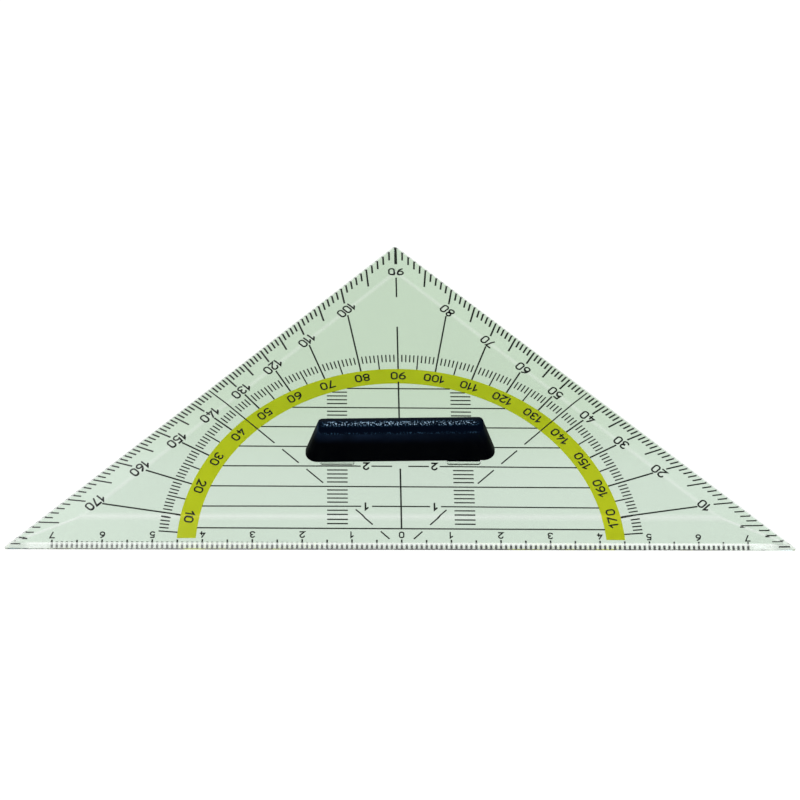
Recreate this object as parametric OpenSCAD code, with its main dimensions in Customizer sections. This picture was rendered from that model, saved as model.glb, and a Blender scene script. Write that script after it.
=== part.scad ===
// Clear 45 degree set square with protractor and a clip-in handle.
// Origin: zero mark, at the middle of the hypotenuse on the underside.
// +X along the hypotenuse, +Y to the right-angled corner, +Z up.

/* [Plate] */
// Length of the hypotenuse
hyp_l = 160; // [140:1:250]
// Thickness of the flat middle
plate_t = 2.4; // [2:0.1:4]
// Height of the upright land round the edge
land_h = 0.4; // [0.2:0.1:0.8]
// Height where the steep facet ends
facet_h = 1.3; // [1:0.1:1.8]
// Width of the steep facet above the land
facet_w = 0.85; // [0.3:0.05:1.2]
// Width of the edge zone, up to the ridge of the flat middle
bevel_w = 6.5; // [3:0.5:9]
// Width of the flat that blunts the right-angled corner
apex_w = 1.2; // [0.6:0.1:3]
// Radius of the two sharp corners
tip_r = 0.25; // [0.1:0.05:0.6]
// Radius of the moulding gate's shallow dish under the handle
gate_r = 1.6; // [1:0.1:2.2]
// Depth of the gate's dish
gate_d = 0.3; // [0.1:0.05:0.6]
// Radius round the gate that is kept free of print
gate_bare_r = 2.6; // [2.4:0.1:3.5]

/* [Handle] */
// Distance of the handle's middle from the hypotenuse
handle_y = 22; // [18:0.1:26]
// Length of the grip at its foot
grip_l = 39.4; // [36:0.2:50]
// Length of the grip at its top
grip_top_l = 33.2; // [26:0.2:35]
// Thickness of the grip at its foot
grip_w = 4.2; // [4:0.1:7]
// Thickness of the grip at its top
grip_top_w = 4; // [2.6:0.1:4]
// Height of the grip above the plate
grip_h = 10.6; // [8:0.1:16]
// Rise of the crowned top from its long edges
crown_h = 0.5; // [0.2:0.1:1.2]
// Radius of the grip's lower corners
heel_r = 0.8; // [0.6:0.1:3]
// Radius of the grip's upper corners
shoulder_r = 0.6; // [0.4:0.2:2]
// Width of the chamfers between the grip's flanks and its ends, at the foot
foot_chamfer = 1.5; // [0.5:0.1:2]
// Width of the same chamfers at the top
top_chamfer = 0.5; // [0.3:0.1:1.2]

/* [Handle feet] */
// Distance between the middles of the two feet
foot_pitch = 26; // [20:0.5:27]
// Length of a foot
foot_l = 7; // [5:0.2:8]
// Thickness of a foot
foot_w = 3.3; // [2.4:0.1:3.8]
// Depth of a foot below the plate's top
foot_d = 1.9; // [1.2:0.1:1.9]
// Corner radius of a foot
foot_r = 0.6; // [0.3:0.1:1]
// Width of the slit that makes a foot springy
slit_w = 0.7; // [0.4:0.1:1]
// Clearance between a foot and its slot
foot_fit = 0.1; // [0.05:0.01:0.2]
// Clearance between the grip and the plate's top
seat_gap = 0.3; // [0.02:0.01:0.4]

/* [Print] */
// Thickness of the ink film under the plate
ink_t = 0.05; // [0.02:0.01:0.1]
// Width of the fine lines
line_w = 0.28; // [0.1:0.02:0.4]
// Width of the centre line and the long rays
bold_w = 0.32; // [0.1:0.02:0.4]
// Gap between a ruler mark and the ruling edge
edge_gap = 0.25; // [0.2:0.05:0.5]
// Gap between marks of different layers
ink_gap = 0.1; // [0.05:0.05:0.3]
// Bare margin round the slots
bare_margin = 0.1; // [0.05:0.05:0.5]

/* [Ruler] */
// Length of a millimetre mark
mm_l = 1.4; // [1:0.1:2]
// Length of a half-centimetre mark
half_cm_l = 2.3; // [1.5:0.1:2.6]
// Length of a centimetre mark
cm_l = 2.5; // [2:0.1:2.8]
// Bare length of the ruler at each sharp corner
ruler_end = 10; // [8:1:20]

/* [Degree scales] */
// Depth of the leg scale, from the leg to the protractor ring
leg_zone = 7.6; // [7:0.1:12]
// Gap between a mark and the leg, square to the leg
leg_gap = 0.6; // [0.2:0.05:0.8]
// Depth of a one-degree mark, square to the leg
leg_mark_l = 1.8; // [1:0.1:2.5]
// Depth of a five-degree mark, square to the leg
leg_five_l = 3.9; // [2.6:0.1:5]
// Depth of a ten-degree mark, square to the leg
leg_ten_l = 3.6; // [2.6:0.1:5]
// Depth kept for the leg numerals and their mark, square to the leg
numeral_zone = 6.8; // [5.6:0.1:7.4]
// Depth of the ring of protractor marks
ring_w = 3.8; // [2.4:0.1:5]
// Length of a one-degree mark on the ring
ring_mark_l = 1.9; // [1:0.1:2.2]
// Width of the coloured band
band_w = 3.8; // [2:0.1:5]
// Height where the band's ends are cut flat
band_end = 2.95; // [2.9:0.05:4.5]
// Length of the right-angle ray above the band
apex_ray_l = 11.4; // [6:0.2:12]
// Length of the right-angle ray under its numeral
apex_stub_l = 5.4; // [3:0.2:6]

/* [Parallel lines] */
// Distance between the parallel lines
line_pitch = 5; // [4:0.5:10]
// Inner end of the ladder marks
ladder_in = 10.8; // [9:0.1:12]
// Length of a ladder mark
ladder_l = 4.2; // [2:0.1:5]
// Distance of the line numerals from the centre line
label_x = 7; // [4:0.5:8]
// Gap left in a line for its numeral
label_gap = 2.2; // [1.4:0.1:3]
// Bare ends of a diagonal dash
dash_gap = 0.8; // [0.4:0.1:1.2]

/* [Hidden] */
$fn = 96;

half = hyp_l / 2;
leg_angle = 45;
// Reach of a cut that has to pass right through
over = hyp_l;
// Radius where the ring meets the leg scale, and the band's radii inside it
ring_r = half * sin(leg_angle) - leg_zone;
band_r = ring_r - ring_w;
band_in = band_r - band_w;
ruler_half = floor(half - ruler_end);
// What the flat takes off the right-angled corner
apex_blunt = apex_w / 2 * tan(leg_angle);
// Lean of the grip's ends from upright
end_lean = atan((grip_l - grip_top_l) / 2 / grip_h);
grip_z = plate_t + seat_gap;

ink_colour = [0.05, 0.06, 0.05];
band_colour = [0.75, 0.76, 0.02];
plate_colour = [0.80, 0.88, 0.82, 0.4];
handle_colour = [0.04, 0.04, 0.05];

// Distance from the zero mark to the leg at an angle
function leg_r(a) = min(half / (abs(cos(a)) + sin(a)), half - apex_blunt);
// How much longer a ray's way through an edge zone is than the zone's depth
function slant(a) = 1 / cos(abs(90 - a) - leg_angle);
// Half the width of the band's inside at a height
function inside(y) = sqrt(max(0, band_in * band_in - y * y));
function unit(a) = [cos(a), sin(a)];

// What a radius removes from a corner whose sides face the two angles
module corner_waste(centre, r, face_a, face_b) {
    middle = (face_a + face_b) / 2;
    translate(centre) difference() {
        polygon([[0, 0], 2 * r * unit(face_a), 4 * r * unit(middle), 2 * r * unit(face_b)]);
        circle(r);
    }
}

module round_rect(l, w, r) {
    square([l - 2 * r, w], center = true);
    square([l, w - 2 * r], center = true);
    for (x = [-1, 1], y = [-1, 1])
        translate([x * (l / 2 - r), y * (w / 2 - r)]) circle(r);
}

// Both feet, or with a margin their slots
module feet_outline(margin) {
    for (side = [-1, 1])
        translate([side * foot_pitch / 2, handle_y])
            round_rect(foot_l + 2 * margin, foot_w + 2 * margin, foot_r + margin);
}

// One side of the plate: land, steep facet, shallow bevel and flat middle
module side_prism() {
    translate([-over, 0, 0]) rotate([90, 0, 90]) linear_extrude(2 * over)
        polygon([
            [0, 0], [0, land_h], [facet_w, facet_h], [bevel_w, plate_t],
            [over, plate_t], [over, 0],
        ]);
}

module plate_corners() {
    tip_x = half - tip_r / tan(leg_angle / 2);
    translate([-half, half - apex_blunt]) square(hyp_l);
    corner_waste([tip_x, tip_r], tip_r, -90, leg_angle);
    corner_waste([-tip_x, tip_r], tip_r, 180 - leg_angle, 270);
}

module triangle_plate() {
    color(plate_colour) difference() {
        intersection() {
            side_prism();
            translate([-half, 0, 0]) rotate(leg_angle - 180) side_prism();
            translate([half, 0, 0]) rotate(180 - leg_angle) side_prism();
        }
        translate([0, 0, -over]) linear_extrude(2 * over) plate_corners();
        translate([0, 0, -over]) linear_extrude(2 * over) feet_outline(foot_fit);
        translate([0, handle_y, plate_t - gate_d]) cylinder(r = gate_r, h = over);
    }
}

// Side view of what the grip's rounded corners leave out, over its foot line
module grip_corners() {
    heel_x = grip_l / 2 - heel_r / tan((90 - end_lean) / 2);
    shoulder_x = grip_top_l / 2 - shoulder_r * tan((90 - end_lean) / 2);
    for (flip = [0, 1]) mirror([flip, 0]) {
        corner_waste([heel_x, heel_r], heel_r, -90, end_lean);
        corner_waste([shoulder_x, grip_h - shoulder_r], shoulder_r, end_lean, 90);
    }
}

// Side view of the grip, standing on its foot line
module side_view() {
    difference() {
        polygon([
            [-grip_l / 2, 0], [grip_l / 2, 0], [grip_top_l / 2, grip_h], [-grip_top_l / 2, grip_h],
        ]);
        grip_corners();
    }
}

// End view of the grip: drafted flanks under a crowned top
module end_view() {
    edge_z = grip_h - crown_h;
    crown_r = (pow(grip_top_w / 2, 2) + crown_h * crown_h) / (2 * crown_h);
    polygon([
        [-grip_w / 2, 0], [grip_w / 2, 0], [grip_top_w / 2, edge_z], [-grip_top_w / 2, edge_z],
    ]);
    intersection() {
        translate([0, grip_h - crown_r]) circle(crown_r);
        translate([-grip_top_w / 2, edge_z]) square([grip_top_w, crown_h]);
    }
}

// What the chamfers take off the four edges between the flanks and the ends
module grip_chamfers() {
    foot_mid = [grip_l / 2, grip_w / 2, 0] - foot_chamfer / sqrt(8) * [1, 1, 0];
    top_mid = [grip_top_l / 2, grip_top_w / 2, grip_h] - top_chamfer / sqrt(8) * [1, 1, 0];
    rise = top_mid - foot_mid;
    across = [rise[2], rise[2], -rise[0] - rise[1]];
    normal = across / norm(across);
    depth = normal * foot_mid;
    for (flip_x = [0, 1], flip_y = [0, 1]) mirror([flip_x, 0, 0]) mirror([0, flip_y, 0])
        rotate([0, -asin(normal[2]), atan2(normal[1], normal[0])])
            translate([depth, -over, -over]) cube(2 * over);
}

module grip() {
    difference() {
        intersection() {
            rotate([90, 0, 0]) translate([0, 0, -over]) linear_extrude(2 * over) side_view();
            rotate([90, 0, 90]) translate([0, 0, -over]) linear_extrude(2 * over) end_view();
        }
        grip_chamfers();
    }
}

module handle() {
    color(handle_colour) {
        translate([0, handle_y, grip_z]) grip();
        translate([0, 0, plate_t - foot_d]) linear_extrude(foot_d + 2 * seat_gap) difference() {
            feet_outline(0);
            translate([0, handle_y]) square([over, slit_w], center = true);
        }
    }
}

// Lays flat marks as an ink film on the underside, clear of the slots and the gate
module printed() {
    translate([0, 0, -ink_t]) linear_extrude(ink_t) difference() {
        children();
        feet_outline(foot_fit + bare_margin);
        translate([0, handle_y]) circle(gate_bare_r);
    }
}

module line(from, to, y, w = line_w) {
    translate([from, y - w / 2]) square([to - from, w]);
}

module ray(a, from, to, w = line_w) {
    rotate(a) line(from, to, 0, w);
}

module protractor_band() {
    color(band_colour) printed() intersection() {
        difference() {
            circle(band_r, $fn = 180);
            circle(band_in, $fn = 180);
        }
        translate([-half, band_end]) square([hyp_l, half]);
    }
}

module ruler_marks() {
    color(ink_colour) printed() for (x = [-ruler_half : ruler_half]) {
        l = x % 10 == 0 ? cm_l : x % 5 == 0 ? half_cm_l : mm_l;
        translate([x, 0]) ray(90, edge_gap, l);
    }
}

module leg_degree_marks() {
    color(ink_colour) printed() for (a = [1 : 179]) if (a % 90 != 45) {
        depth = a % 10 == 0 ? leg_ten_l : a % 5 == 0 ? leg_five_l : leg_mark_l;
        ray(a, leg_r(a) - (leg_gap + depth) * slant(a), leg_r(a) - leg_gap * slant(a));
    }
}

module ring_degree_marks() {
    color(ink_colour) printed() for (a = [5 : 175]) if (a % 10 != 0 && a % 90 != 45)
        ray(a, a % 5 == 0 ? band_r + ink_gap : ring_r - ring_mark_l, ring_r);
}

module degree_rays() {
    color(ink_colour) printed() {
        for (a = [10 : 10 : 170]) if (a != 90)
            ray(a, band_r + ink_gap, max(leg_r(a) - numeral_zone * slant(a), ring_r), bold_w);
        for (a = [leg_angle, 180 - leg_angle])
            ray(a, band_r + ink_gap, leg_r(a) - leg_gap);
        ray(90, band_r + ink_gap, band_r + apex_ray_l, bold_w);
        stub_end = half - numeral_zone * slant(90);
        ray(90, stub_end - apex_stub_l, stub_end, bold_w);
    }
}

module parallel_lines() {
    color(ink_colour) printed() {
        difference() {
            for (y = [line_pitch : line_pitch : band_in - 1])
                line(ink_gap - inside(y), inside(y) - ink_gap, y);
            for (x = [-label_x, label_x], n = [2, 4])
                translate([x, n * line_pitch]) square([label_gap, line_pitch], center = true);
        }
        ray(90, line_pitch, band_in - ink_gap, bold_w);
    }
}

module ladder_marks() {
    first = ceil(line_pitch);
    color(ink_colour) printed() for (y = [first : band_in], flip = [0, 1]) {
        end = min(ladder_in + ladder_l, inside(y) - ink_gap);
        if (y % line_pitch != 0 && end > ladder_in)
            mirror([flip, 0]) line(ladder_in, end, y);
    }
}

// Dashes along both 45 degree lines, one in each gap between the parallel lines
module diagonal_dashes() {
    reach = band_in * sin(leg_angle) - ink_gap;
    color(ink_colour) printed() for (y = [0 : line_pitch : reach - line_pitch / 2], a = [45, 135]) {
        from = max(y + dash_gap, cm_l);
        to = min(y + line_pitch - dash_gap, reach);
        if (to < ladder_in || from > ladder_in + ladder_l)
            ray(a, from / sin(a), to / sin(a));
    }
}

triangle_plate();
handle();
protractor_band();
ruler_marks();
leg_degree_marks();
ring_degree_marks();
degree_rays();
parallel_lines();
ladder_marks();
diagonal_dashes();
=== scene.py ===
"""Looks of a clear 45 degree set square with protractor and grip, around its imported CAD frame."""

import math

import bmesh
import bpy
from mathutils import Matrix, Vector
from mathutils.geometry import tessellate_polygon


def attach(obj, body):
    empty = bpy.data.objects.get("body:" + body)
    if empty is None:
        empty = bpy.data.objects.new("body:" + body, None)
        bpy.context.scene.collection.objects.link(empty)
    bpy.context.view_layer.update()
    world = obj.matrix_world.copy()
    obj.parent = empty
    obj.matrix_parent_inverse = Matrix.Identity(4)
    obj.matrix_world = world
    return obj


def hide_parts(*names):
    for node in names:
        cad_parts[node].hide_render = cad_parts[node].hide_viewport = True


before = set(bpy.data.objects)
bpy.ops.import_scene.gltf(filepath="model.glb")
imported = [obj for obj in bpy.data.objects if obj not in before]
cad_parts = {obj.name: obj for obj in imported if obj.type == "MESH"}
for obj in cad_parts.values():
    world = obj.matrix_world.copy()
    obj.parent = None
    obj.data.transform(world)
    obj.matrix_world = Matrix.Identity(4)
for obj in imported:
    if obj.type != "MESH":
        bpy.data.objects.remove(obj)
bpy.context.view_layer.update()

# All lengths below are in millimetres, in the row frame: the zero mark is the origin.
MM = 0.001
ROOT2 = math.sqrt(2)

# Plate
HALF = 80.0
PLATE_T = 2.4
LAND_H = 0.4
FACET_W = 0.85
FACET_H = 1.3
BEVEL_W = 6.5
# Section of an edge, from the underside to a place on the flat, and the rounding of its corners
EDGE_PROFILE = [(0, 0), (0, LAND_H), (FACET_W, FACET_H), (BEVEL_W, PLATE_T), (2 * BEVEL_W, PLATE_T)]
EDGE_RADII = [0.08, 0.25, 4.0]
EDGE_STEPS = 8
APEX_W = 1.2
APEX_SOFT = 0.05
TIP_R = 0.25
TIP_FLATS = 5
# Half the angle of a sharp corner
HALF_TIP = math.pi / 8
GATE_R = 1.6
GATE_D = 0.3
GATE_STEPS = 48

# Handle
HANDLE_Y = 22.0
GRIP_Z = 2.45
GRIP_L = 39.3
GRIP_TOP_L = 33.35
GRIP_W = 4.16
GRIP_TOP_W = 4.06
GRIP_H = 10.0
GRIP_STATIONS = 32
CROWN_H = 0.5
HEEL_R = 0.65
SHOULDER_R = 0.3
# Rounding of the ends, seen from above, at the foot and at the top
FOOT_ROUND = 1.8
END_ROUND = 1.2
TOP_ROUND = 0.2
FOOT_X = 13.0
FOOT_L = 7.0
FOOT_W = 3.3
FOOT_R = 0.6
FOOT_D = 1.9
SLIT_W = 0.7
FOOT_FIT = 0.1
SLOT_PLAY = 0.25
SLOT_FRONT = HANDLE_Y - FOOT_W / 2 - FOOT_FIT
# The grip isn't pressed home: its right end stands proud of the plate
GRIP_TILT = math.radians(1.38)
GRIP_SHIFT = -0.1

# Print
RULER_LINE_W = 0.46
LEG_LINE_W = 0.38
LINE_W = 0.27
BOLD_W = 0.33
SHORTEST = 0.05
EDGE_GAP = 0.35
EDGE_CLEAR = 0.06
STUB_W = 0.32
RULER_HALF = 70
MM_L = 1.6
HALF_CM_L = 2.2
CM_L = 2.3
RULER_NUMERAL_Y = 3.4
RING_R = 49.0
RING_MARK_L = 1.9
RING_ENDS = (5, 175)
BAND_R = 45.2
BAND_IN = 41.4
BAND_END = 2.6
BAND_STEPS = 180
BAND_NUMERAL_R = 43.4
# Depths of the leg scale, square to the leg
LEG_GAP = 0.67
LEG_MARK_L = 1.8
LEG_FIVE_L = 3.9
LEG_TEN_L = 3.6
LEG_NUMERAL_IN = 5.8
RAY_CLEAR = 1.15
NUMERAL_ZONE = 6.95
# What the leg scale loses towards the tips: rim, depth of its numerals, and shares of its marks
TIP_RIM = 0.6
TIP_NUMERAL = 0.75
TIP_SHORTER = 0.1
TIP_FINER = 0.25
APEX_RAY_L = 11.4
APEX_STUB_L = 5.4
GATE_BARE_R = 2.6
FOOT_BARE = 0.7
DIAGONALS = (45, 135)
LINE_PITCH = 5
LINE_OVER = 0.1
CENTRE_OVER = 0.4
NUMBERED_LINES = (10, 20)
LABEL_X = 7
LABEL_GAP = 2.2
LADDER = (10.8, 15)
LADDER_TOP = 40
DASH_GAP = 0.8
DASH_START = 2.45
DASH_TOP = 30
DASH_BARE = 10
# The printing plate lay slightly turned and shifted on the moulding, which had shrunk a little and bowed
PRINT_TURN = math.radians(-0.172)
PRINT_SCALE = 1.003
PRINT_SHIFT = Vector((-0.13, -0.05))
PRINT_BOW = 0.55
BOW_START = 1.5
BOW_RISE = 0.9
# Numerals: height, stroke as a share of the height, and width against the drawn digits
RULER_NUMERAL = {"height": 1.55, "weight": 0.17, "wide": 1.2}
LEG_NUMERAL = {"height": 2.05, "weight": 0.17, "wide": 1.2}
BAND_NUMERAL = {"height": 2.0, "weight": 0.17, "wide": 1.25}
LINE_NUMERAL = {"height": 1.95, "weight": 0.18, "wide": 1.1}
DIGIT_W = 0.56
ONE_W = 0.3
DIGIT_GAP = 0.26
# Least cosine that a stroke's bends are widened by, and where its round ends have points, as shares of half
# its width
SHARPEST = 0.35
ROUND_END = (0.55, 0.9)
INK_TOP = 0.02
INK_LOW = -0.04
BAND_TOP = 0.01
BAND_LOW = -0.05

# Clear plastic: its tint above, a lighter tint below that is painted light, where it changes, a painted
# shadow low on the ruling edge, and the colours of painted highlights, pale and frosted
PLASTIC_IOR = 1.49
APEX_TINT = (0.628, 0.766, 0.609)
PAINTED_LIT_TINT = (0.704, 0.822, 0.712)
PAINTED_LIGHT_CHANGE = (15, 40)
PAINTED_SHADOW_TINT = (0.25, 0.28, 0.25)
PAINTED_SHADOW_DEPTH = (0.12, 0.32)
PAINTED_SHADOW_REACH = (25, 60, 0.6)
HIGHLIGHT_WHITE = (1, 1, 1)
HIGHLIGHT_FROSTED = (0.97, 1, 0.97)
HIGHLIGHT_FROST_DENSITY = 0.6
HIGHLIGHT_ROUGH = 0.2
SMEAR_ROUGH = 0.03
# Painted highlights on ridges, mitres and outer facets: distances between which each fades out, and its
# strength
LEG_RIDGE_HIGHLIGHT = (0, 0.8, 0.5)
FRONT_RIDGE_HIGHLIGHT = (0, 1.2, 0.7)
MITRE_HIGHLIGHT = (0, 0.95, 0.9)
LEG_FACET_HIGHLIGHT = (0.6, 0.9, 1.0)
FRONT_FACET_HIGHLIGHT = (0.6, 0.9, 0.5)
HIGHLIGHTS_ABOVE = 0.3
# Painted highlights drawn as frost: on the ruling edge, stronger to the left and beyond the ruler, and on the
# front of the slots
HIGHLIGHT_FROST_LEFT = (-60, 40, 0.25)
HIGHLIGHT_FROST_LEAST = 0.06
HIGHLIGHT_FROST_TIPS = (RULER_HALF + 1.5, RULER_HALF + 0.5, 0.5)
HIGHLIGHT_FROST_FACET = (0.55, 0.9)
ARRIS_Y = 0.66
HIGHLIGHT_FROST_ARRIS = (0.05, 0.3, 0.8)
HIGHLIGHT_FROST_ENDS = (HALF - 5.5, HALF - 3.5)
HIGHLIGHT_FROST_SLOT_Y = (0.03, 0.12)
HIGHLIGHT_FROST_SLOT_X = (3.4, 4.0)
HIGHLIGHT_FROST_SLOT_SIDE = (-12, 30)

# Black plastic: painted glints, pale flecks in the crown's colour, lie in a strip and on the front crest
GLINT_STRIP_Y = 0.2
GLINT_STRIP = (0.3, 0.9)
CREST_Y = 0.12 - GRIP_TOP_W / 2
GLINT_CREST = (0.05, 0.22, 0.3)
GLINT_MIDDLE_X = -0.4
GLINT_ENDS = (14.4, 16.6)
PIT_SCALE = 3400
PIT_LEVELS = (0.65, 0.51)
CROWN_GLINT_COLOURS = [(0.0, (0.0004, 0.0018, 0.006)), (0.5, (0.024, 0.06, 0.105)), (1.0, (0.3, 0.42, 0.53))]
# Flanks: black, and the blue of a painted sheen below the crest
FLANK_SHEEN_COLOURS = [(0.0, (0.0001, 0.0003, 0.001)), (0.6, (0.005, 0.011, 0.026))]
SHEEN_HEIGHT = (GRIP_Z + GRIP_H, GRIP_Z + GRIP_H - 4)
SHEEN_LEFT = (-12, 16, 0.75)
SHEEN_LEAST = 0.25

# Studio: a white dome with two dark flags, each a direction and the angles of its core and rim. The flat of
# the plate mirrors the one low behind to the camera, and the front bevel the one overhead.
DOME = 1.15
FLAG_SHARE = 0.026
FLAGS = [((0.25, 0.75, 0.61), 22, 31), ((0.16, 0.21, 0.96), 9, 16)]
# Softboxes: name, place and size in metres, watts and colour
LAMPS = [
    ("low_back_softbox", (0.0, 1.2, 0.5), 0.4, 4.0, (0.6, 0.85, 1.0)),
    ("left_softbox", (-0.8, -0.3, 0.8), 0.5, 3.0, (1.0, 1.0, 0.98)),
]
LAMP_AIM = Vector((0, 0.03, 0))
FLOOR_SIZE = 3
FLOOR_Z = -0.08
FLOOR_GLOW = 1.1
FLOOR_SHARE = 0.8

# Camera
LENS = 118.885
SENSOR = 36
CAMERA_AT = (-21.98, -296.43, 442.09)
CAMERA_PAN = 0.3071
CAMERA_TILT = 37.0825
CAMERA_ROLL = -2.4859


# Meshes


def make_object(name, bm, materials, body, nodes, normals=None):
    """A piece from a bmesh in millimetres, which rides on a body and stands for CAD nodes."""
    bmesh.ops.scale(bm, vec=(MM, MM, MM), verts=bm.verts)
    mesh = bpy.data.meshes.new(name)
    bm.to_mesh(mesh)
    bm.free()
    if normals:
        mesh.shade_smooth()
        mesh.normals_split_custom_set(normals)
    for look in materials:
        mesh.materials.append(look)
    obj = bpy.data.objects.new(name, mesh)
    bpy.context.scene.collection.objects.link(obj)
    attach(obj, body)
    if nodes:
        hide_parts(*nodes)
    return obj


def arc(centre, radius, start, end, steps):
    """Points on an arc; radius is a number or a pair, angles are in degrees."""
    rx, ry = radius if isinstance(radius, tuple) else (radius, radius)
    angles = [math.radians(start + (end - start) * i / steps) for i in range(steps + 1)]
    return [(centre[0] + rx * math.cos(a), centre[1] + ry * math.sin(a)) for a in angles]


def round_rect(centre, length, width, radius, steps=6):
    x, y = length / 2 - radius, width / 2 - radius
    points = []
    for i, (sx, sy) in enumerate([(1, 1), (-1, 1), (-1, -1), (1, -1)]):
        points += arc((centre[0] + sx * x, centre[1] + sy * y), radius, 90 * i, 90 * i + 90, steps)
    return points


def loop(bm, points, z):
    return [bm.verts.new((*p, z)) for p in points]


def wall(bm, low, high):
    """Quads between two closed loops of vertices."""
    for i in range(len(low)):
        j = (i + 1) % len(low)
        bm.faces.new((low[i], low[j], high[j], high[i]))


def cap(bm, loops):
    """Triangles that fill the first loop of vertices and leave the others open."""
    every = [v for ring in loops for v in ring]
    for corners in tessellate_polygon([[v.co for v in ring] for ring in loops]):
        bm.faces.new([every[i] for i in corners])


# Plate mesh


def rounded_profile(points, radii):
    """(distance in, height, normal in, normal up) along the edge's section, with its corners rounded."""

    def unit(a, b):
        return (Vector(b) - Vector(a)).normalized()

    first = unit(points[0], points[1])
    out = [(*points[0], -first.y, first.x)]
    for i, radius in enumerate(radii, 1):
        u1, u2 = unit(points[i - 1], points[i]), unit(points[i], points[i + 1])
        turn = u1.angle(u2)
        start = Vector(points[i]) - u1 * radius * math.tan(turn / 2)
        centre = start - radius * Vector((-u1.y, u1.x))
        a0 = math.atan2(u1.x, -u1.y)
        for k in range(EDGE_STEPS + 1):
            a = a0 - turn * k / EDGE_STEPS
            n = Vector((math.cos(a), math.sin(a)))
            out.append((*(centre + radius * n), n.x, n.y))
    return out


def triangle(d):
    """Corners of the plate's outline moved in by d: left tip, right tip, apex."""
    x = HALF - d * (1 + ROOT2)
    return [(-x, d), (x, d), (0, HALF - ROOT2 * d)]


def corner_planes():
    """Upright planes that blunt the plate's three corners: (point, normal)."""
    flat = HALF - APEX_W / 2
    yield Vector((0, flat, 0)), Vector((0, 1, 0))
    for side in (-1, 1):
        n = Vector((side * math.sin(HALF_TIP), math.cos(HALF_TIP), 0))
        yield Vector((side * APEX_W / 2, flat, 0)) - APEX_SOFT * n, n
    tip_x = HALF - TIP_R / math.tan(HALF_TIP)
    for x, start, end in [(tip_x, -90, 45), (-tip_x, 135, 270)]:
        for i in range(TIP_FLATS):
            a = math.radians(start + (end - start) * (i + 1) / (TIP_FLATS + 1))
            n = Vector((math.cos(a), math.sin(a), 0))
            yield Vector((x, TIP_R, 0)) + TIP_R * n, n


def edge_normal(profile, inward, z):
    """Normal of an edge's rounded section at a height."""
    for (_, z0, a0, b0), (_, z1, a1, b1) in zip(profile, profile[1:]):
        if z <= z1 + 1e-6:
            break
    t = min(max((z - z0) / (z1 - z0), 0), 1)
    a, b = a0 + (a1 - a0) * t, b0 + (b1 - b0) * t
    return Vector((a * inward[0], a * inward[1], b)).normalized()


def build_plate(clear):
    bm = bmesh.new()
    side_of = bm.faces.layers.int.new("side")
    profile = rounded_profile(EDGE_PROFILE, EDGE_RADII)
    inward = [(0, 1), (-1 / ROOT2, -1 / ROOT2), (1 / ROOT2, -1 / ROOT2)]
    rings = [loop(bm, triangle(d), z) for d, z, _, _ in profile]
    for low, high in zip(rings, rings[1:]):
        for i in range(3):
            j = (i + 1) % 3
            bm.faces.new((low[i], low[j], high[j], high[i]))[side_of] = i + 1

    slot_size = (FOOT_L + 2 * SLOT_PLAY, FOOT_W + 2 * FOOT_FIT, FOOT_R + FOOT_FIT)
    slots = [round_rect((side * FOOT_X, HANDLE_Y), *slot_size) for side in (-1, 1)]
    top_slots = [loop(bm, s, PLATE_T) for s in slots]
    low_slots = [loop(bm, s, 0) for s in slots]
    dish = arc((0, HANDLE_Y), GATE_R, 0, 360, GATE_STEPS)[:-1]
    dish_top = loop(bm, dish, PLATE_T)
    dish_low = loop(bm, dish, PLATE_T - GATE_D)
    for low, high in [*zip(low_slots, top_slots), (dish_low, dish_top)]:
        wall(bm, low, high)
    cap(bm, [rings[-1], *top_slots, dish_top])
    cap(bm, [dish_low])
    cap(bm, [rings[0], *low_slots])

    for point, normal in corner_planes():
        every = bm.verts[:] + bm.edges[:] + bm.faces[:]
        bmesh.ops.bisect_plane(bm, geom=every, dist=1e-5, plane_co=point, plane_no=normal, clear_outer=True)
        rim = [e for e in bm.edges if e.is_boundary]
        for face in bmesh.ops.holes_fill(bm, edges=rim, sides=0)["faces"]:
            face[side_of] = 0
    bmesh.ops.recalc_face_normals(bm, faces=bm.faces)

    bm.normal_update()
    bm.faces.ensure_lookup_table()
    normals = []
    for face in bm.faces:
        side = face[side_of]
        for corner in face.loops:
            z = corner.vert.co.z
            normals.append(edge_normal(profile, inward[side - 1], z) if side else face.normal.copy())
    return make_object("clear_plate", bm, [clear], "plate", ["triangle_plate"], normals)


# Handle mesh


def rounding(radius, to_edge):
    """How far a rounded edge lies under the flat, at a distance from the edge's line."""
    return radius - math.sqrt(max(0, radius**2 - max(0, radius - to_edge) ** 2))


def grip_outline(top_cut, steps=8):
    """Side view of the grip (x, height), anticlockwise from the right foot, with its top cut back."""
    lean = math.atan2((GRIP_L - GRIP_TOP_L) / 2, GRIP_H)
    top = GRIP_H - top_cut
    top_half = GRIP_L / 2 - math.tan(lean) * top
    heel_x = GRIP_L / 2 - HEEL_R / math.tan((math.pi / 2 - lean) / 2)
    shoulder_x = top_half - SHOULDER_R * math.tan((math.pi / 2 - lean) / 2)
    lean = math.degrees(lean)
    right = arc((heel_x, HEEL_R), HEEL_R, -90, lean, steps)
    right += arc((shoulder_x, top - SHOULDER_R), SHOULDER_R, lean, 90, steps)
    left = [(-x, z) for x, z in reversed(right)]
    return right + left


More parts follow.
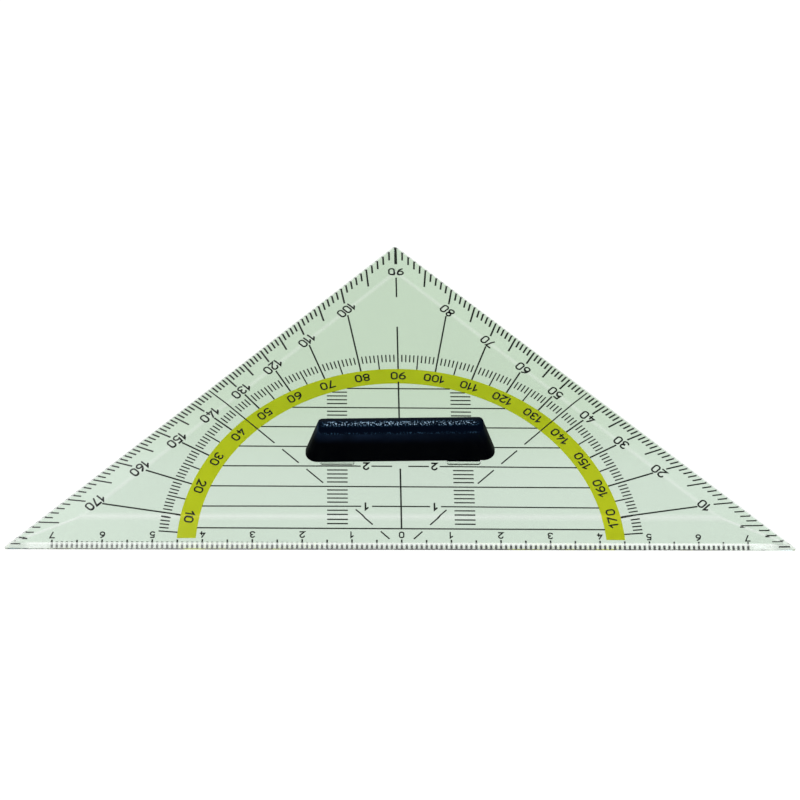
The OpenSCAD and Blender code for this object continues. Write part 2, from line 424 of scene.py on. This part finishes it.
def build_handle(grain, satin):
    bm = bmesh.new()
    stations = []
    for s in [-math.cos(math.pi * i / GRIP_STATIONS) for i in range(GRIP_STATIONS + 1)]:
        to_edge = (1 - abs(s)) * GRIP_W / 2
        ring = []
        for x, z in grip_outline(CROWN_H * s * s + rounding(TOP_ROUND, to_edge)):
            up = z / GRIP_H
            end_cut = rounding(FOOT_ROUND + (END_ROUND - FOOT_ROUND) * up, to_edge)
            width = GRIP_W + (GRIP_TOP_W - GRIP_W) * up
            ring.append(bm.verts.new((x - math.copysign(end_cut, x), s * width / 2, z)))
        stations.append(ring)
    count = len(stations[0])
    for a, b in zip(stations, stations[1:]):
        for i in range(count - 1):
            face = bm.faces.new((a[i], a[i + 1], b[i + 1], b[i]))
            face.smooth = True
            # The middle quarter of the outline is the crown
            on_crown = abs(i - (count - 2) / 2) < count / 8
            face.material_index = 0 if on_crown else 1
    bm.faces.new(stations[0])
    bm.faces.new(stations[-1])
    underside = [ring[0] for ring in stations] + [ring[-1] for ring in reversed(stations)]
    prong_w = (FOOT_W - SLIT_W) / 2
    feet = []
    for side in (-1, 1):
        for prong in (-1, 1):
            centre = (side * FOOT_X, prong * (SLIT_W + prong_w) / 2)
            outline = round_rect(centre, FOOT_L, prong_w, FOOT_R)
            feet.append(loop(bm, outline, 0))
            tip = loop(bm, outline, -FOOT_D)
            wall(bm, tip, feet[-1])
            cap(bm, [tip])
    cap(bm, [underside, *feet])
    for face in bm.faces:
        if not face.smooth:
            face.material_index = 1
    bmesh.ops.recalc_face_normals(bm, faces=bm.faces)
    # The grip leans about its left heel
    heel = -(GRIP_L / 2 - HEEL_R / math.tan(math.pi / 6))
    place = (
        Matrix.Translation((GRIP_SHIFT, HANDLE_Y, GRIP_Z))
        @ Matrix.Translation((heel, 0, 0))
        @ Matrix.Rotation(-GRIP_TILT, 4, "Y")
        @ Matrix.Translation((-heel, 0, 0))
    )
    bmesh.ops.transform(bm, matrix=place, verts=bm.verts)
    return make_object("grip_handle", bm, [grain, satin], "grip", ["handle"])


# Print meshes

TURN = Matrix.Rotation(PRINT_TURN, 2)


def bow(x, y):
    """How far the print sags at a place; the ruler's marks keep to the edge."""
    return PRINT_BOW * (x / HALF) ** 2 * min(max((y - BOW_START) / BOW_RISE, 0), 1)


def registered(p):
    """Where a point of the print lies on the plate."""
    q = TURN @ Vector(p) * PRINT_SCALE + PRINT_SHIFT
    return Vector((q.x, q.y - bow(q.x, q.y)))


def direction(angle):
    return Vector((math.cos(math.radians(angle)), math.sin(math.radians(angle))))


# Strokes of each digit, one unit high: (points, closed)
DIGITS = {
    "0": [(arc((0.28, 0.72), 0.28, 180, 0, 10) + arc((0.28, 0.28), 0.28, 0, -180, 10), True)],
    "1": [([(0, 0.72), (0.28, 1), (0.28, 0)], False)],
    "2": [(arc((0.28, 0.72), 0.28, 170, -38, 14) + [(0, 0), (0.56, 0)], False)],
    "3": [
        (arc((0.26, 0.75), 0.25, 155, -90, 12), False),
        (arc((0.26, 0.26), (0.29, 0.26), 90, -155, 14), False),
    ],
    "4": [([(0.36, 1), (0, 0.27), (0.56, 0.27)], False), ([(0.4, 0.5), (0.4, 0)], False)],
    "5": [([(0.5, 1), (0.09, 1), (0.05, 0.54)] + arc((0.26, 0.31), (0.3, 0.31), 110, -140, 16), False)],
    "6": [
        ([(0.46, 1)] + arc((0.46, 0.3), (0.46, 0.62), 118, 172, 8), False),
        (arc((0.28, 0.29), (0.28, 0.29), 0, 345, 23), True),
    ],
    "7": [([(0, 1), (0.56, 1), (0.2, 0)], False)],
    "8": [
        (arc((0.28, 0.76), (0.23, 0.24), -90, 255, 23), True),
        (arc((0.28, 0.26), (0.28, 0.26), 90, 435, 23), True),
    ],
}
DIGITS["9"] = [([(DIGIT_W - x, 1 - y) for x, y in points], closed) for points, closed in DIGITS["6"]]


class Print:
    """Flat marks of one printing, collected as closed thin solids."""

    def __init__(self, top=INK_TOP, low=INK_LOW):
        self.bm, self.top, self.low = bmesh.new(), top, low

    def loops(self, points):
        """The same points on the lower and on the upper face of the ink."""
        placed = [registered(p) for p in points]
        return loop(self.bm, placed, self.low), loop(self.bm, placed, self.top)

    def area(self, points):
        low, high = self.loops(points)
        self.bm.faces.new(high)
        self.bm.faces.new(list(reversed(low)))
        wall(self.bm, low, high)

    def strip(self, left, right, closed):
        """Quads between two lines of points; the ends are walled unless the strip closes on itself."""
        lb, lt = self.loops(left)
        rb, rt = self.loops(right)
        n = len(left)
        for i in range(n if closed else n - 1):
            j = (i + 1) % n
            self.bm.faces.new((rt[i], rt[j], lt[j], lt[i]))
            self.bm.faces.new((lb[i], lb[j], rb[j], rb[i]))
            self.bm.faces.new((lb[j], lb[i], lt[i], lt[j]))
            self.bm.faces.new((rb[i], rb[j], rt[j], rt[i]))
        if not closed:
            self.bm.faces.new((lb[0], rb[0], rt[0], lt[0]))
            self.bm.faces.new((rb[-1], lb[-1], lt[-1], rt[-1]))

    def line(self, a, b, width=LINE_W):
        a, b = Vector(a), Vector(b)
        n = (b - a).normalized().orthogonal() * width / 2
        self.area([a - n, b - n, b + n, a + n])

    def ray(self, angle, start, end, width=LINE_W):
        u = direction(angle)
        self.line(u * start, u * end, width)

    def stroke(self, points, width, closed=False):
        """A pen stroke of even width with rounded ends."""
        p = [Vector(q) for q in points]
        if closed and (p[0] - p[-1]).length < 1e-6:
            p.pop()
        n, left, right = len(p), [], []
        for i in range(n):
            ways = []
            if i or closed:
                ways.append((p[i] - p[i - 1]).normalized())
            if i < n - 1 or closed:
                ways.append((p[(i + 1) % n] - p[i]).normalized())
            tangent = sum(ways, Vector((0, 0))).normalized()
            side = Vector((-tangent.y, tangent.x))
            stretch = 1 / max(SHARPEST, ways[0].dot(tangent))
            left.append(p[i] + side * width / 2 * stretch)
            right.append(p[i] - side * width / 2 * stretch)
        if not closed:
            for end, before in ((0, 1), (-1, -2)):
                ahead = (p[end] - p[before]).normalized()
                side = (left[end] - right[end]) / 2
                for k in ROUND_END:
                    back = math.sqrt(1 - k * k)
                    at = 0 if end == 0 else len(left)
                    left.insert(at, p[end] + side * back + ahead * k * width / 2)
                    right.insert(at, p[end] - side * back + ahead * k * width / 2)
        self.strip(left, right, closed)

    def text(self, label, centre, up, height, weight, wide):
        """Digits whose middle is at centre and whose tops point along up."""
        up = Vector(up).normalized()
        right = Vector((up.y, -up.x))
        stroke = height * weight
        body = height - stroke
        widths = [ONE_W if digit == "1" else DIGIT_W for digit in label]
        start = -(sum(widths) + DIGIT_GAP * (len(label) - 1)) / 2
        for digit, width in zip(label, widths):
            corner = Vector(centre) + (right * start * wide - up / 2) * body
            for points, closed in DIGITS[digit]:
                self.stroke([corner + (right * x * wide + up * y) * body for x, y in points], stroke, closed)
            start += width + DIGIT_GAP

    def piece(self, name, look, nodes=()):
        bmesh.ops.recalc_face_normals(self.bm, faces=self.bm.faces)
        return make_object(name, self.bm, [look], "plate", nodes)


def leg_r(angle):
    """Distance along a ray of the print to the line of the leg."""
    u = direction(angle)
    return HALF / (abs(u.x) + u.y)


def slant(angle):
    """How much longer a ray's way through an edge zone is than the zone's depth."""
    return 1 / math.cos(math.radians(abs(90 - angle) - 45))


def to_tip(angle):
    """0 at the apex, 1 at the sharp corners."""
    return 1 - math.sin(math.radians(angle))


def leg_gap(angle):
    """Bare rim outside the leg scale, which narrows to the tips."""
    return LEG_GAP - TIP_RIM * to_tip(angle) ** 2


def leg_numeral_in(angle):
    """Depth of the middle of the leg numerals."""
    return LEG_NUMERAL_IN - TIP_NUMERAL * to_tip(angle)


def inside(y):
    """Half the width of the band's inside at a height."""
    return math.sqrt(max(0, BAND_IN**2 - y * y))


def band_line(radius):
    """Points along the band at a radius, from one flat end to the other."""
    first = math.degrees(math.asin(BAND_END / radius))
    return [direction(first + (180 - 2 * first) * k / BAND_STEPS) * radius for k in range(BAND_STEPS + 1)]


def cut_out(spans, low, high):
    """What is left of spans after taking low to high out."""
    out = []
    for a, b in spans:
        out += [(x, y) for x, y in ((a, min(b, low)), (max(a, high), b)) if y - x > SHORTEST]
    return out


def print_band(yellow):
    band = Print(BAND_TOP, BAND_LOW)
    band.strip(band_line(BAND_IN), band_line(BAND_R), False)
    band.piece("band_print", yellow, ["protractor_band"])


def print_ruler(black):
    ruler = Print()
    for x in range(-RULER_HALF, RULER_HALF + 1):
        start = max(EDGE_GAP, EDGE_CLEAR - registered((x, 0)).y)
        ruler.line((x, start), (x, MM_L), RULER_LINE_W)
        if x % 5 == 0:
            ruler.line((x, MM_L), (x, HALF_CM_L if x % 10 else CM_L), STUB_W)
        if x % 10 == 0:
            ruler.text(str(abs(x) // 10), (x, RULER_NUMERAL_Y), (0, -1), **RULER_NUMERAL)
    ruler.piece("ruler_print", black, ["ruler_marks"])


def print_legs(black):
    legs = Print()
    for a in range(1, 180):
        if a in DIAGONALS:
            continue
        depth = LEG_TEN_L if a % 10 == 0 else LEG_FIVE_L if a % 5 == 0 else LEG_MARK_L
        end = leg_r(a) - leg_gap(a) * slant(a)
        lighter = to_tip(a) ** 2
        start = end - depth * (1 - TIP_SHORTER * lighter) * slant(a)
        legs.ray(a, start, end, LEG_LINE_W * (1 - TIP_FINER * lighter))
        if a % 10 == 0:
            up = (1, -1) if a > 90 else (-1, -1) if a < 90 else (0, -1)
            legs.text(str(a), direction(a) * (leg_r(a) - leg_numeral_in(a) * slant(a)), up, **LEG_NUMERAL)
    legs.piece("leg_degree_print", black, ["leg_degree_marks"])


def print_ring(black):
    ring = Print()
    for a in range(RING_ENDS[0], RING_ENDS[1] + 1):
        if a % 10 and a not in DIAGONALS:
            ring.ray(a, BAND_R if a % 5 == 0 else RING_R - RING_MARK_L, RING_R)
    ring.piece("ring_degree_print", black, ["ring_degree_marks"])


def print_rays(black):
    rays = Print()
    for a in range(10, 180, 10):
        if a != 90:
            end = leg_r(a) - (leg_numeral_in(a) + RAY_CLEAR) * slant(a)
            rays.ray(a, BAND_R, max(end, RING_R), BOLD_W)
    for a in DIAGONALS:
        rays.ray(a, BAND_IN, leg_r(a) - LEG_GAP)
    rays.ray(90, BAND_R, BAND_R + APEX_RAY_L, BOLD_W)
    stub_end = leg_r(90) - NUMERAL_ZONE * slant(90)
    rays.ray(90, stub_end - APEX_STUB_L, stub_end, BOLD_W)
    rays.piece("degree_ray_print", black, ["degree_rays"])


def print_band_numerals(black):
    numerals = Print()
    for a in range(10, 180, 10):
        numerals.text(str(180 - a), direction(a) * BAND_NUMERAL_R, -direction(a), **BAND_NUMERAL)
    numerals.piece("band_numeral_print", black)


def print_lines(black):
    lines = Print()
    for y in range(LINE_PITCH, math.ceil(BAND_IN), LINE_PITCH):
        spans = [(-inside(y) - LINE_OVER, inside(y) + LINE_OVER)]
        if y in NUMBERED_LINES:
            for x in (-LABEL_X, LABEL_X):
                spans = cut_out(spans, x - LABEL_GAP / 2, x + LABEL_GAP / 2)
                lines.text(str(y // 10), (x, y), (0, -1), **LINE_NUMERAL)
        gap = GATE_BARE_R**2 - (y - HANDLE_Y) ** 2
        if gap > 0:
            spans = cut_out(spans, -math.sqrt(gap), math.sqrt(gap))
        for a, b in spans:
            lines.line((a, y), (b, y))
    centre = [(LINE_PITCH, BAND_IN + CENTRE_OVER)]
    for a, b in cut_out(centre, HANDLE_Y - GATE_BARE_R, HANDLE_Y + GATE_BARE_R):
        lines.line((0, a), (0, b), BOLD_W)
    lines.piece("parallel_line_print", black, ["parallel_lines"])


def print_ladder(black):
    ladder = Print()
    for y in range(LINE_PITCH + 1, LADDER_TOP):
        over_foot = abs(y - HANDLE_Y) < FOOT_W / 2 + FOOT_BARE
        if y % LINE_PITCH and not over_foot:
            end = min(LADDER[1], inside(y))
            for side in (-1, 1):
                ladder.line((side * LADDER[0], y), (side * end, y))
    ladder.piece("ladder_print", black, ["ladder_marks"])


def print_dashes(black):
    dashes = Print()
    for y in range(0, DASH_TOP, LINE_PITCH):
        if y == DASH_BARE:
            continue
        start, end = max(y + DASH_GAP, DASH_START), min(y + LINE_PITCH - DASH_GAP, BAND_IN / ROOT2)
        for a in DIAGONALS:
            dashes.ray(a, start * ROOT2, end * ROOT2)
    dashes.piece("diagonal_print", black, ["diagonal_dashes"])


def build_print(black, yellow):
    print_band(yellow)
    print_ruler(black)
    print_legs(black)
    print_ring(black)
    print_rays(black)
    print_band_numerals(black)
    print_lines(black)
    print_ladder(black)
    print_dashes(black)


# Materials


def new_material(name):
    m = bpy.data.materials.new(name)
    m.use_nodes = True
    return m, m.node_tree, m.node_tree.nodes["Principled BSDF"]


def add(tree, kind, **inputs):
    node = tree.nodes.new(kind)
    for key, value in inputs.items():
        socket = node.inputs[key.replace("_", " ")]
        socket.default_value = value
    return node


def ramp(tree, source, stops):
    node = tree.nodes.new("ShaderNodeValToRGB")
    elements = node.color_ramp.elements
    while len(elements) < len(stops):
        elements.new(0.5)
    for element, (at, colour) in zip(elements, stops):
        element.position = at
        element.color = (*colour, 1)
    tree.links.new(source, node.inputs["Fac"])
    return node.outputs["Color"]


def object_coords(tree):
    return tree.nodes.new("ShaderNodeTexCoord").outputs["Object"]


def noise(tree, coords, scale, detail):
    node = add(tree, "ShaderNodeTexNoise", Scale=scale, Detail=detail)
    tree.links.new(coords, node.inputs["Vector"])
    return node.outputs["Fac"]


def calc(tree, operation, first, *others):
    """A chain of Math nodes, or one node on a single value; each value is a socket or a number."""
    result = first
    for other in others or (None,):
        node = tree.nodes.new("ShaderNodeMath")
        node.operation = operation
        for socket, value in zip(node.inputs, (result, other)):
            if isinstance(value, (int, float)):
                socket.default_value = value
            elif value is not None:
                tree.links.new(value, socket)
        result = node.outputs[0]
    return result


def distance(tree, a, b):
    return calc(tree, "ABSOLUTE", calc(tree, "SUBTRACT", a, b))


def fade(tree, value, start, end, high=1.0):
    """high where value is at start, falling smoothly to 0 at end."""
    node = add(tree, "ShaderNodeMapRange", From_Min=start, From_Max=end, To_Min=high, To_Max=0.0)
    node.interpolation_type = "SMOOTHSTEP"
    tree.links.new(value, node.inputs["Value"])
    return node.outputs["Result"]


def blend(tree, amount, low, high):
    """A colour between two; each is a socket or a colour."""
    node = tree.nodes.new("ShaderNodeMix")
    node.data_type = "RGBA"
    tree.links.new(amount, node.inputs[0])
    for socket, value in ((node.inputs[6], low), (node.inputs[7], high)):
        if isinstance(value, tuple):
            socket.default_value = (*value, 1)
        else:
            tree.links.new(value, socket)
    return node.outputs[2]


def millimetres(tree, coords):
    scaled = tree.nodes.new("ShaderNodeVectorMath")
    scaled.operation = "SCALE"
    scaled.inputs["Scale"].default_value = 1 / MM
    tree.links.new(coords, scaled.inputs[0])
    split = tree.nodes.new("ShaderNodeSeparateXYZ")
    tree.links.new(scaled.outputs[0], split.inputs[0])
    return split.outputs


def plate_wear(tree, x, y, z):
    """How far the ridges, mitres and outer facets are painted pale as highlights, and how far edges carry
    painted highlights drawn as frost: 0 to 1.
    """
    across = calc(tree, "ABSOLUTE", x)
    leg = calc(tree, "MULTIPLY", calc(tree, "SUBTRACT", HALF, across, y), 1 / ROOT2)
    past_leg_ridge = calc(tree, "SUBTRACT", leg, BEVEL_W)
    past_front_ridge = calc(tree, "SUBTRACT", y, BEVEL_W)
    short_of_leg_ridge = calc(tree, "MULTIPLY", past_leg_ridge, -1.0)
    short_of_front_ridge = calc(tree, "MULTIPLY", past_front_ridge, -1.0)
    leg_ridge = calc(tree, "MAXIMUM", calc(tree, "ABSOLUTE", past_leg_ridge), short_of_front_ridge)
    front_ridge = calc(tree, "MAXIMUM", calc(tree, "ABSOLUTE", past_front_ridge), short_of_leg_ridge)
    mitre = calc(tree, "MAXIMUM", distance(tree, y, leg), past_front_ridge)
    # Painted highlights: the ridges, mitres and outer facets painted pale
    pale_highlight = calc(
        tree,
        "MAXIMUM",
        fade(tree, leg_ridge, *LEG_RIDGE_HIGHLIGHT),
        fade(tree, front_ridge, *FRONT_RIDGE_HIGHLIGHT),
        fade(tree, mitre, *MITRE_HIGHLIGHT),
        fade(tree, leg, *LEG_FACET_HIGHLIGHT),
        fade(tree, y, *FRONT_FACET_HIGHLIGHT),
    )
    on_top = calc(tree, "GREATER_THAN", z, HIGHLIGHTS_ABOVE)

    # Painted highlights drawn as frost: along the ruling edge's facet and arris, and on the front of the
    # slots
    along = calc(tree, "ADD", fade(tree, x, *HIGHLIGHT_FROST_LEFT), HIGHLIGHT_FROST_LEAST)
    along = calc(tree, "MAXIMUM", along, fade(tree, across, *HIGHLIGHT_FROST_TIPS))
    facet = calc(tree, "MULTIPLY", fade(tree, y, *HIGHLIGHT_FROST_FACET), along)
    arris = fade(tree, distance(tree, y, ARRIS_Y), *HIGHLIGHT_FROST_ARRIS)
    edge = calc(tree, "MAXIMUM", facet, arris)
    edge = calc(tree, "MULTIPLY", edge, on_top, fade(tree, across, *HIGHLIGHT_FROST_ENDS))
    at_slot = fade(tree, distance(tree, y, SLOT_FRONT), *HIGHLIGHT_FROST_SLOT_Y)
    along_slot = fade(tree, distance(tree, across, FOOT_X), *HIGHLIGHT_FROST_SLOT_X)
    slot = calc(tree, "MULTIPLY", at_slot, along_slot, fade(tree, x, *HIGHLIGHT_FROST_SLOT_SIDE))
    return calc(tree, "MULTIPLY", pale_highlight, on_top), calc(tree, "MAXIMUM", edge, slot)


def clear_plastic():
    """Clear plastic, greener to the apex than along the ruling edge, where the lighter tint is painted light;
    with a painted shadow at the foot of that edge, and painted highlights on ridges, mitres, facets and slot
    fronts.
    """
    m, tree, shader = new_material("clear_plastic")
    shader.inputs["IOR"].default_value = PLASTIC_IOR
    coords = object_coords(tree)
    x, y, z = millimetres(tree, coords)
    highlight, frost_highlight = plate_wear(tree, x, y, z)
    # Painted light: the tint turns lighter towards the ruling edge
    tint = blend(tree, fade(tree, y, *PAINTED_LIGHT_CHANGE), APEX_TINT, PAINTED_LIT_TINT)
    # Painted shadow: a dark line low on the ruling edge's facet, strongest in the middle
    near_middle = fade(tree, calc(tree, "ABSOLUTE", x), *PAINTED_SHADOW_REACH)
    painted_shadow = calc(tree, "MULTIPLY", fade(tree, y, *PAINTED_SHADOW_DEPTH), near_middle)
    tint = blend(tree, painted_shadow, tint, PAINTED_SHADOW_TINT)
    # Painted highlights: white on ridges, mitres and outer facets, and frost-white on the ruling edge and
    # slot fronts
    colour = blend(tree, frost_highlight, blend(tree, highlight, tint, HIGHLIGHT_WHITE), HIGHLIGHT_FROSTED)
    tree.links.new(colour, shader.inputs["Base Color"])
    clear = calc(tree, "SUBTRACT", 1.0, calc(tree, "MULTIPLY", frost_highlight, HIGHLIGHT_FROST_DENSITY))
    tree.links.new(clear, shader.inputs["Transmission Weight"])
    smears = add(tree, "ShaderNodeMapRange", From_Min=0.35, From_Max=0.7, To_Min=0.0, To_Max=SMEAR_ROUGH)
    tree.links.new(noise(tree, coords, 60, 4), smears.inputs["Value"])
    rough = calc(tree, "ADD", smears.outputs["Result"], calc(tree, "MULTIPLY", highlight, HIGHLIGHT_ROUGH))
    tree.links.new(rough, shader.inputs["Roughness"])
    return m


def ink(name, light, dark, scale):
    m, tree, shader = new_material(name)
    shader.inputs["Roughness"].default_value = 0.6
    cloud = noise(tree, object_coords(tree), scale, 3)
    tree.links.new(ramp(tree, cloud, [(0.35, dark), (0.65, light)]), shader.inputs["Base Color"])
    return m


def grip_top():
    """Black moulded plastic with a coarse grain, and glints painted into its colour as pale flecks in a strip
    along the crown and on its crest.
    """
    m, tree, shader = new_material("grip_top")
    shader.inputs["Roughness"].default_value = 0.3
    shader.inputs["Specular IOR Level"].default_value = 0.01
    coords = object_coords(tree)
    x, y, _ = millimetres(tree, coords)
    across = calc(tree, "SUBTRACT", y, HANDLE_Y)
    strip = fade(tree, distance(tree, across, GLINT_STRIP_Y), *GLINT_STRIP)
    crest = fade(tree, distance(tree, across, CREST_Y), *GLINT_CREST)
    ends = fade(tree, distance(tree, x, GLINT_MIDDLE_X), *GLINT_ENDS)
    pits = noise(tree, coords, PIT_SCALE, 1.5)
    glint = fade(tree, pits, *PIT_LEVELS)
    # Painted glints: pale flecks in the base colour, in a strip and on the crest
    glint = calc(tree, "MULTIPLY", glint, calc(tree, "MAXIMUM", strip, crest), ends)
    tree.links.new(ramp(tree, glint, CROWN_GLINT_COLOURS), shader.inputs["Base Color"])
    relief = add(tree, "ShaderNodeBump", Strength=0.6, Distance=0.0002)
    tree.links.new(pits, relief.inputs["Height"])
    tree.links.new(relief.outputs["Normal"], shader.inputs["Normal"])
    return m


def grip_side():
    """Smooth black plastic, with a faint blue sheen painted below the crest, stronger to the left."""
    m, tree, shader = new_material("grip_side")
    shader.inputs["Specular IOR Level"].default_value = 0.005
    shader.inputs["Roughness"].default_value = 0.4
    coords = object_coords(tree)
    x, _, height = millimetres(tree, coords)
    sheen_breakup = noise(tree, coords, 300, 3)
    # Painted sheen: blue below the crest, stronger to the left, broken up by noise
    along = calc(tree, "ADD", fade(tree, x, *SHEEN_LEFT), SHEEN_LEAST)
    painted_sheen = calc(tree, "MULTIPLY", fade(tree, height, *SHEEN_HEIGHT), sheen_breakup, along)
    tree.links.new(ramp(tree, painted_sheen, FLANK_SHEEN_COLOURS), shader.inputs["Base Color"])
    return m


def floor_paper():
    """White paper that shows as a plain white ground, and keeps part of the shadow."""
    m, tree, shader = new_material("floor_paper")
    tree.nodes.remove(shader)
    path = tree.nodes.new("ShaderNodeLightPath").outputs
    seen = calc(tree, "MAXIMUM", path["Is Glossy Ray"], path["Is Transmission Ray"], path["Is Camera Ray"])
    matte = add(tree, "ShaderNodeBsdfDiffuse", Color=(0.85, 0.85, 0.85, 1))
    glow = add(tree, "ShaderNodeEmission", Color=(1, 1, 1, 1), Strength=FLOOR_GLOW)
    mix = tree.nodes.new("ShaderNodeMixShader")
    tree.links.new(calc(tree, "MULTIPLY", seen, FLOOR_SHARE), mix.inputs["Fac"])
    tree.links.new(matte.outputs[0], mix.inputs[1])
    tree.links.new(glow.outputs[0], mix.inputs[2])
    tree.links.new(mix.outputs[0], tree.nodes["Material Output"].inputs["Surface"])
    return m


# Stage, light and camera


def build_floor():
    bm = bmesh.new()
    bmesh.ops.create_grid(bm, x_segments=1, y_segments=1, size=FLOOR_SIZE)
    mesh = bpy.data.meshes.new("floor")
    bm.to_mesh(mesh)
    bm.free()
    mesh.materials.append(floor_paper())
    floor = bpy.data.objects.new("floor", mesh)
    floor.location.z = FLOOR_Z * MM
    bpy.context.scene.collection.objects.link(floor)


def build_world():
    world = bpy.data.worlds.new("studio")
    world.use_nodes = True
    tree = world.node_tree
    sky = tree.nodes.new("ShaderNodeTexCoord").outputs["Generated"]
    level = DOME
    for way, core, rim in FLAGS:
        toward = tree.nodes.new("ShaderNodeVectorMath")
        toward.operation = "DOT_PRODUCT"
        toward.inputs[1].default_value = Vector(way).normalized()
        tree.links.new(sky, toward.inputs[0])
        core, rim = math.cos(math.radians(core)), math.cos(math.radians(rim))
        bright = fade(tree, toward.outputs["Value"], rim, core, 1 - FLAG_SHARE)
        level = calc(tree, "MULTIPLY", calc(tree, "ADD", bright, FLAG_SHARE), level)
    tree.links.new(level, tree.nodes["Background"].inputs["Strength"])
    tree.nodes["Background"].inputs["Color"].default_value = (1, 1, 1, 1)
    bpy.context.scene.world = world


def build_lamps():
    for name, at, size, watts, colour in LAMPS:
        lamp = bpy.data.lights.new(name, "AREA")
        lamp.energy = watts
        lamp.size = size
        lamp.color = colour
        obj = bpy.data.objects.new(name, lamp)
        obj.location = at
        obj.rotation_euler = (LAMP_AIM - Vector(at)).to_track_quat("-Z", "Y").to_euler()
        # Not seen as glints through the clear plate
        obj.visible_transmission = False
        bpy.context.scene.collection.objects.link(obj)


def build_camera():
    scene = bpy.context.scene
    data = bpy.data.cameras.new("camera")
    data.sensor_width = SENSOR
    data.lens = LENS
    data.clip_start = 0.01
    camera = bpy.data.objects.new("camera", data)
    turn = (
        Matrix.Rotation(math.radians(CAMERA_PAN), 4, "Z")
        @ Matrix.Rotation(math.radians(CAMERA_TILT), 4, "X")
        @ Matrix.Rotation(math.radians(CAMERA_ROLL), 4, "Y")
    )
    camera.matrix_world = Matrix.Translation(Vector(CAMERA_AT) * MM) @ turn
    scene.collection.objects.link(camera)
    scene.camera = camera


build_plate(clear_plastic())
build_handle(grip_top(), grip_side())
build_print(
    ink("black_ink", (0.012, 0.016, 0.013), (0.004, 0.006, 0.005), 400),
    ink("yellow_ink", (1.0, 1.0, 0.0), (1.0, 0.98, 0.0), 25),
)
build_floor()
build_world()
build_lamps()
build_camera()

scene = bpy.context.scene
scene.view_settings.view_transform = "Standard"
scene.cycles.max_bounces = 24
scene.cycles.transmission_bounces = 24
scene.cycles.glossy_bounces = 16
